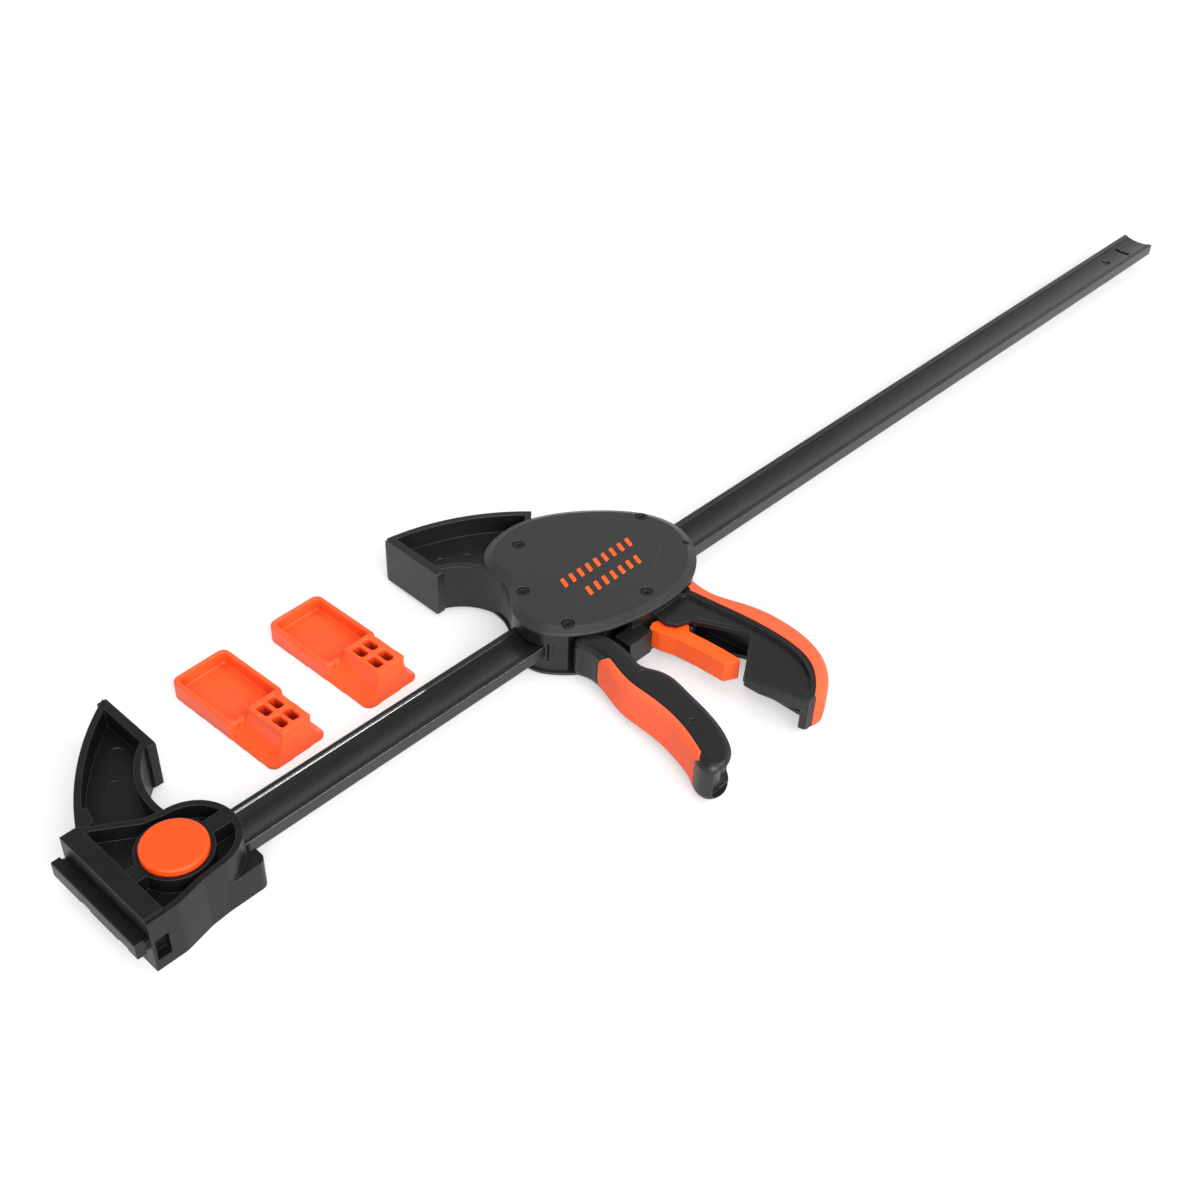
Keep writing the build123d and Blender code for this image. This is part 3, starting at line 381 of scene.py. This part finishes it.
def steel(name, colour, light_colour, edge_highlight_colour, metallic, roughness, line_mm, line_depth,
          stretch):
    """A drawn or rolled steel: fine lines along X, with patches of a second tone."""
    material, tree, output, place = new_material(name)
    along = add(tree, "ShaderNodeMapping", {"Vector": place, "Scale": (1 / stretch, 1, 1)})
    lines = add(tree, "ShaderNodeTexNoise",
                {"Vector": along.outputs[0], "Scale": per_metre(line_mm), "Detail": 3.0})
    patches = add(tree, "ShaderNodeTexNoise",
                  {"Vector": place, "Scale": per_metre(PATCH), "Detail": 4.0})
    tint = add(tree, "ShaderNodeMix", {0: patches.outputs["Fac"], 6: linear(colour),
                                       7: linear(light_colour)}, data_type="RGBA")
    gloss = add(tree, "ShaderNodeMapRange",
                {"Value": lines.outputs["Fac"], "From Min": NOISE_LOW, "From Max": NOISE_HIGH,
                 "To Min": roughness - METAL_GLOSS_SPREAD,
                 "To Max": roughness + METAL_GLOSS_SPREAD})
    edge = add(tree, "ShaderNodeBevel", {"Radius": EDGE_ROUND * MM}, samples=MASK_SAMPLES)
    edge_highlight = edge_highlight_mask(tree, edge.outputs[0])
    # Painted highlight: the edge colour is mixed in along rounded edges.
    body_colour = add(tree, "ShaderNodeMix", {0: edge_highlight, 6: tint.outputs["Result"],
                                              7: linear(edge_highlight_colour)}, data_type="RGBA")
    relief = add(tree, "ShaderNodeBump",
                 {"Height": lines.outputs["Fac"], "Distance": line_depth * MM,
                  "Strength": LINE_STRENGTH, "Normal": edge.outputs[0]})
    shader = add(tree, "ShaderNodeBsdfPrincipled",
                 {"Base Color": body_colour.outputs["Result"], "Metallic": metallic,
                  "Roughness": gloss.outputs[0], "Normal": relief.outputs[0]})
    tree.links.new(shader.outputs[0], output.inputs["Surface"])
    return material


# Black oxide on drawn steel: a dark sheen that runs along the bar, with edges painted grey as a
# highlight.
bar_steel = steel("cold_drawn_steel_black_oxide", "404040", "484847", "8c8c8b",
                  metallic=0.9, roughness=0.30, line_mm=0.6, line_depth=0.01, stretch=60)
# A bright glossy steel for a painted glint: a thin bright line along the shoulder.
glint_steel = steel("cold_drawn_steel_painted_glint", "a8a8a6", "c0c0be", "d0d0ce",
                   metallic=1.0, roughness=0.14, line_mm=0.6, line_depth=0.005, stretch=60)
# Black oxide on a rolled screw: a dull near black.
screw_steel = steel("screw_steel_black_oxide", "1c1c1e", "2a2a2c", "4a4a4c",
                    metallic=0.7, roughness=0.45, line_mm=0.8, line_depth=0.01, stretch=1)
# Hardened steel under oil: a plain grey shine for plates and pins.
plain_steel = steel("hardened_steel_oiled", "8d9094", "a2a5a8", "b4b6b8",
                    metallic=1.0, roughness=0.32, line_mm=0.5, line_depth=0.01, stretch=20)
# Drawn spring wire: a little darker than the plates, with no lines to see.
spring_steel = steel("spring_wire_drawn", "7e8184", "95989b", "a4a6a8",
                     metallic=1.0, roughness=0.3, line_mm=0.4, line_depth=0.01, stretch=1)
print("materials so far:", len(bpy.data.materials))


# %% [markdown]
# ## Dress the CAD nodes
# The clamp's main shapes are all in the CAD model. Every node keeps its own mesh and takes one
# finish, since each real part comes out of one mould or off one bar.

# %% Finishes for the nodes
FINISH = {
    "bar": bar_steel, "fixed_jaw": shaded_jaw_nylon, "quick_change_button": button_acetal,
    "latch_key": plain_steel, "latch_spring": spring_steel, "sliding_jaw_body": black_nylon,
    "front_cover": cover_nylon, "back_cover": cover_nylon, "cover_screws": screw_steel,
    "grip_overmould": grip_rubber, "lever_body": black_nylon, "lever_overmould": grip_rubber,
    "lever_pivot_pin": plain_steel, "drive_plate_1": plain_steel, "drive_plate_2": plain_steel,
    "drive_spring": spring_steel, "brake_plate": plain_steel, "brake_spring": spring_steel,
    "release_trigger": trigger_acetal, "trigger_pin": plain_steel,
    "fixed_jaw_pad": pad_vinyl, "sliding_jaw_pad": pad_vinyl,
}
for name, finish in FINISH.items():
    mesh = nodes[name].data
    mesh.materials.clear()
    mesh.materials.append(finish)
print("dressed", len(FINISH), "nodes")


# %% [markdown]
# ## Helpers for new pieces
# A new piece is an object at the origin whose mesh already lies in place. It takes a finish
# and rides on one of the clamp's bodies.
# A CAD node's mesh is loose triangles, so a copy has its corners merged before it is worked on.

# %% New piece
WELD = 0.001


def new_piece(name, mesh, finish, body, smooth=True):
    """Link a mesh as a piece that rides on a body."""
    piece = bpy.data.objects.new(name, mesh)
    bpy.context.scene.collection.objects.link(piece)
    mesh.materials.clear()
    mesh.materials.append(finish)
    if smooth:
        mesh.shade_smooth()
    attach(piece, body)
    return piece


def finished_mesh(shape, name):
    """Turn a bmesh into a mesh, with its faces pointing outwards."""
    bmesh.ops.recalc_face_normals(shape, faces=shape.faces)
    mesh = bpy.data.meshes.new(name)
    shape.to_mesh(mesh)
    shape.free()
    return mesh


def merged_copy(node_name):
    """A copy of a CAD node's mesh with the corners of its loose triangles merged."""
    shape = bmesh.new()
    shape.from_mesh(nodes[node_name].data)
    bmesh.ops.remove_doubles(shape, verts=shape.verts, dist=WELD * MM)
    return finished_mesh(shape, node_name + "_copy")


# %% [markdown]
# ## Soft jaw pads
# The pads are moulded from soft vinyl, and such a moulding has no hard corner anywhere: its
# rims sag a little and every edge is round. Bevels on each edge would have to stop and meet at
# the four cored holes, so a copy of the CAD pad is remeshed into fine even squares instead.
# A few rounds of smoothing then wear all the edges down together.

# %% Softened pads
PAD_GRID = 0.45
PAD_SMOOTHING = 7

for node_name, body in (("fixed_jaw_pad", "loose_pad_1"), ("sliding_jaw_pad", "loose_pad_2")):
    pad = new_piece(node_name + "_soft", merged_copy(node_name), pad_vinyl, body)
    remesh = pad.modifiers.new("even_squares", "REMESH")
    remesh.mode = "VOXEL"
    remesh.voxel_size = PAD_GRID * MM
    remesh.use_smooth_shade = True
    smoothing = pad.modifiers.new("worn_edges", "SMOOTH")
    smoothing.factor = 0.5
    smoothing.iterations = PAD_SMOOTHING
    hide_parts(node_name)


# %% [markdown]
# ## Springs
# A spring is one stiff solid in the CAD, but the real one shortens when its part moves. Each
# working spring gets a copy with a mesh of its own that rides on its body, and the CAD spring
# is hidden. The copy keeps its full length here: the joint, axis, seat and share listed in the
# table are not read.

# %% Springs
LATCH_SEAT = (0.0, 0.0, 2.3 * MM)
LATCH_KEEP = 0.38
DRIVE_KEEP = 0.50
drive_low, drive_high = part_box("drive_spring")
drive_seat = (drive_high[0], 0.0, (drive_low[2] + drive_high[2]) / 2)
SPRINGS = (
    # node, body, joint, axis, seat, share of its length that is left
    ("latch_spring", "frame", "button_press", (0, 0, 1), LATCH_SEAT, LATCH_KEEP),
    ("drive_spring", "head", "drive_stroke", (1, 0, 0), drive_seat, DRIVE_KEEP),
)
for node_name, body, joint, axis, seat, keep in SPRINGS:
    coil = new_piece(node_name + "_live", merged_copy(node_name), spring_steel, body)
    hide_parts(node_name)
    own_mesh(coil)
    print(coil.name, "keeps", keep, "of its length")


# %% [markdown]
# ## Places in the head's own axes
# The head's pieces are easier to draw in millimetres from the head's own origin: the middle of
# the bar, at the jaw's face. The cover starts a little behind that face, so its box gives the
# place. One helper takes a finished shape from there to where it belongs, and another raises
# a plan outline to a height, as a mould maker reads a drawing.

# %% The head's axes
FACE_TO_COVER = 4.7
HEAD_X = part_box("front_cover")[0][0] - FACE_TO_COVER * MM
COVER_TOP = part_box("front_cover")[1][2]
MIDDLE_HEIGHT = (COVER_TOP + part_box("back_cover")[0][2]) / 2
print("head at", round(HEAD_X, 4), "middle plane at", round(MIDDLE_HEIGHT, 4))


def to_head(shape, height=MIDDLE_HEIGHT):
    """Scale a shape drawn in millimetres and carry it to the head's place."""
    bmesh.ops.scale(shape, verts=shape.verts, vec=(MM, MM, MM))
    bmesh.ops.translate(shape, verts=shape.verts, vec=(HEAD_X, 0, height))


def raised_plan(shape, corners, low, high):
    """A plan outline raised from one height to another, as new faces of a shape."""
    floor = shape.faces.new([shape.verts.new((x, y, low)) for x, y in corners])
    grown = bmesh.ops.extrude_face_region(shape, geom=[floor])["geom"]
    raised = [g for g in grown if isinstance(g, bmesh.types.BMVert)]
    bmesh.ops.translate(shape, verts=raised, vec=(0, 0, high - low))


# %% [markdown]
# ## The open tip of the lever
# The lever is a thin walled moulding, and its lower end is left open for the mould's core to
# draw out. A Boolean takes that pocket out of a copy of the lever, together with the two shallow
# marks that the ejector pins leave on its face. The cutter is one box with round corners and
# two low discs. The cut leaves long thin faces on the lever's flat top, so its normals are
# weighted by face size, which keeps the flat parts looking flat.

# %% Lever with its open tip
TIP_POCKET = ((0.6, 30.0), (-135.0, -118.9), (-8.6, 8.6))  # from and to, along X, Y and Z
POCKET_CORNER = 3.0
LEVER_FACE = 11.0
LEVER_MARKS = ((22.5, -58.9), (15.3, -94.7))
MARK_DEPTH = 0.5
MARK_RADIUS = 1.4
SHARP_FROM = 32

shape = bmesh.new()
(x_low, x_high), (y_low, y_high), (z_low, z_high) = TIP_POCKET
box_corners = [(x_low, y_low), (x_high, y_low), (x_high, y_high), (x_low, y_high)]
raised_plan(shape, box_corners, z_low, z_high)
edges_along = [e for e in shape.edges if abs(e.verts[0].co.y - e.verts[1].co.y) > POCKET_CORNER]
bmesh.ops.bevel(shape, geom=edges_along, offset=POCKET_CORNER, segments=6, profile=0.5,
                affect="EDGES", material=-1)
for x, y in LEVER_MARKS:
    bmesh.ops.create_cone(shape, cap_ends=True, segments=24, radius1=MARK_RADIUS,
                          radius2=MARK_RADIUS, depth=2 * MARK_DEPTH,
                          matrix=Matrix.Translation((x, y, LEVER_FACE)))
to_head(shape)
cutter = bpy.data.objects.new("tip_cutter", finished_mesh(shape, "tip_cutter"))
bpy.context.scene.collection.objects.link(cutter)

lever = bpy.data.objects.new("lever_uncut", merged_copy("lever_body"))
bpy.context.scene.collection.objects.link(lever)
cut = lever.modifiers.new("open_tip", "BOOLEAN")
cut.object = cutter
cut.operation = "DIFFERENCE"
cut.solver = "EXACT"
cut_lever = lever.evaluated_get(bpy.context.evaluated_depsgraph_get())
cut_mesh = bpy.data.meshes.new_from_object(cut_lever)
bpy.data.objects.remove(lever)
bpy.data.objects.remove(cutter)

lever_open = new_piece("lever_body_open", cut_mesh, black_nylon, "lever",
                       smooth=False)
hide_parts("lever_body")
cut_mesh.shade_smooth()
cut_mesh.set_sharp_from_angle(angle=math.radians(SHARP_FROM))
even = lever_open.modifiers.new("flat_faces_stay_flat", "WEIGHTED_NORMAL")
even.keep_sharp = True
print("lever faces", len(nodes["lever_body"].data.polygons), "->", len(cut_mesh.polygons))


# %% [markdown]
# ## The grip's foot
# The trigger's side of the grip ends in a short wall that turns down from the upper cheek and
# meets a stout heel at the bottom of the rim. Both are plan outlines raised to their height,
# since the outline is all that varies, and every edge is rounded as a mould's are.

# %% Grip foot
FOOT_WALL = [(56.4, -90.7), (57.0, -99.1), (63.2, -121.9), (67.8, -122.9), (69.6, -121.0),
             (65.2, -119.2), (59.4, -98.6), (58.8, -92.0)]
FOOT_WALL_LOW, FOOT_WALL_HIGH = 1.6, 8.5
FOOT_HEEL = [(62.6, -119.0), (63.4, -122.2), (67.9, -123.3), (71.6, -120.2), (68.6, -117.6)]
FOOT_HEEL_LOW, FOOT_HEEL_HIGH = -9.6, 9.4
FOOT_ROUND = 0.5

shape = bmesh.new()
raised_plan(shape, FOOT_WALL, FOOT_WALL_LOW, FOOT_WALL_HIGH)
raised_plan(shape, FOOT_HEEL, FOOT_HEEL_LOW, FOOT_HEEL_HIGH)
bmesh.ops.recalc_face_normals(shape, faces=shape.faces)
bmesh.ops.bevel(shape, geom=shape.edges[:], offset=FOOT_ROUND, segments=2, profile=0.5,
                affect="EDGES", material=-1)
to_head(shape)
foot = new_piece("grip_foot", finished_mesh(shape, "grip_foot"), black_nylon, "head",
                 smooth=False)
print("grip foot faces:", len(foot.data.polygons))


# %% [markdown]
# ## Marks on the cover
# A real cover carries printing in the middle. Here that place has a generic pattern: two rows
# of slanted dashes, raised a little as pad printed ink is. Each dash starts as a cube that is
# scaled, sheared and moved, and then all of their upright edges are rounded together.

# %% Rows of dashes
DASH_PITCH = 5.6
DASH_WIDTH = 2.3
DASH_LENGTH = 5.8
DASH_RISE = 0.22
DASH_SLANT = 0.35
DASH_CORNER = 0.6
DASH_ROWS = ((38.0, 6.6, 9), (42.5, -5.6, 7))  # start along the bar, middle across it, count

shape = bmesh.new()
slant = Matrix(((1, DASH_SLANT, 0, 0), (0, 1, 0, 0), (0, 0, 1, 0), (0, 0, 0, 1)))
for row_start, row_middle, count in DASH_ROWS:
    for step in range(count):
        grown = bmesh.ops.create_cube(shape, size=1.0)["verts"]
        bmesh.ops.scale(shape, verts=grown, vec=(DASH_WIDTH, DASH_LENGTH, DASH_RISE * 2))
        bmesh.ops.transform(shape, matrix=slant, verts=grown)
        offset = Vector((row_start + step * DASH_PITCH, row_middle, 0))
        bmesh.ops.translate(shape, verts=grown, vec=offset)
upright_edges = [e for e in shape.edges if abs(e.verts[0].co.z - e.verts[1].co.z) > DASH_RISE]
bmesh.ops.bevel(shape, geom=upright_edges, offset=DASH_CORNER, segments=3, profile=0.5,
                affect="EDGES", material=-1)
to_head(shape, COVER_TOP)
new_piece("cover_dashes", finished_mesh(shape, "cover_dashes"), trigger_acetal, "head",
          smooth=False)
print("dashes:", sum(count for row_start, row_middle, count in DASH_ROWS))


# %% [markdown]
# ## Moulded beads
# Two shallow beads sweep across the cover, and finer ones follow the rim and the cheek of the
# grip. Each is a smooth curve given a round section and sunk until only its crown stands
# proud. A curve bends more evenly than a row of faces would.

# %% Beads
def bead(name, points, height, radius, finish, body, origin_x=HEAD_X, end_size=1.0):
    """A half sunk round bead along a smooth curve drawn in millimetres."""
    curve = bpy.data.curves.new(name, "CURVE")
    curve.dimensions = "3D"
    curve.bevel_depth = radius * MM
    curve.bevel_resolution = 3
    curve.use_fill_caps = True
    line = curve.splines.new("NURBS")
    line.points.add(len(points) - 1)
    for point, (x, y) in zip(line.points, points):
        point.co = (origin_x + x * MM, y * MM, height, 1)
    line.points[-1].radius = end_size
    line.order_u = 3
    line.use_endpoint_u = True
    line.resolution_u = 10
    holder = bpy.data.objects.new(name + "_curve", curve)
    mesh = bpy.data.meshes.new_from_object(holder)
    bpy.data.objects.remove(holder)
    return new_piece(name, mesh, finish, body)


BEAD_RADIUS = 0.9
COVER_BEAD_SINK = 0.72
RIM_BEAD_SINK = 0.35
CHEEK_BEAD_SINK = 0.3
RIM_TOP = MIDDLE_HEIGHT + 10.0 * MM
CHEEK_TOP = MIDDLE_HEIGHT + 8.6 * MM
upper_bead = [(26.0, 27.0), (40.0, 27.5), (60.0, 31.5), (76.0, 31.5), (90.0, 27.5), (101.0, 20.0)]
lower_bead = [(48.0, -20.0), (60.0, -19.5), (74.0, -16.5), (88.0, -10.0), (100.0, 0.0)]
rim_bead = [(80.8, -38.0), (83.4, -49.7), (85.6, -66.0), (86.2, -80.0), (85.2, -95.0),
            (81.6, -107.4), (75.0, -115.6)]
cheek_bead = [(70.4, -50.0), (74.6, -57.4), (78.4, -67.0), (79.8, -75.5)]
BEADS = (
    # name, points, surface, depth of the curve under it, finish, slot
    ("cover_bead_upper", upper_bead, COVER_TOP, COVER_BEAD_SINK, cover_nylon, "cover_nylon"),
    ("cover_bead_lower", lower_bead, COVER_TOP, COVER_BEAD_SINK, cover_nylon, "cover_nylon"),
    ("grip_rim_bead", rim_bead, RIM_TOP, RIM_BEAD_SINK, black_nylon, "black_nylon"),
    ("grip_cheek_bead", cheek_bead, CHEEK_TOP, CHEEK_BEAD_SINK, black_nylon, "black_nylon"),
)
for name, points, top, sink, finish, slot in BEADS:
    bead(name, points, top - sink * MM, BEAD_RADIUS, finish, "head")
print("beads made:", len(BEADS))


# %% [markdown]
# ## Bright shoulders on the bar
# The head slides on the bar's raised lands. Each land's inner shoulder is a fine rounded bead
# along the whole bar. The tilted brake plate bears on the side of the jaws. Near the fixed jaw
# the far land's two shoulders, on top and underneath, are a bright glossy steel: a painted
# glint, for the line of light along that shoulder. They grow thinner towards their end, where
# the glint fades.

# %% Bar shoulders
SHOULDER_Y = 7.45
SHOULDER_RADIUS = 0.75
SHOULDER_RISE = 0.12
BAR_END_GAP = 1.0
GLINT_TO = 138.0
GLINT_END_SIZE = 0.5

bar_low, bar_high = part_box("bar")
first = bar_low[0] / MM + BAR_END_GAP
last = bar_high[0] / MM - BAR_END_GAP
shoulder_lift = (SHOULDER_RISE - SHOULDER_RADIUS) * MM
# The first stretch is the painted glint, in bright steel; the others keep the bar's own finish.
STRETCHES = (
    # part, distance from the bar's middle line, start, end, finish, size at its end
    ("glint", SHOULDER_Y, first, GLINT_TO, glint_steel, GLINT_END_SIZE),
    ("far", SHOULDER_Y, GLINT_TO, last, bar_steel, 1.0),
    ("front", -SHOULDER_Y, first, last, bar_steel, 1.0),
)
for face, height in (("top", bar_high[2] + shoulder_lift), ("under", bar_low[2] - shoulder_lift)):
    for part, y, start, end, finish, end_size in STRETCHES:
        along = [(start, y), ((start + end) / 2, y), (end, y)]
        bead("bar_shoulder_" + face + "_" + part, along, height, SHOULDER_RADIUS, finish,
             "frame", origin_x=0, end_size=end_size)
print("bar from", round(bar_low[0], 4), "to", round(bar_high[0], 4))
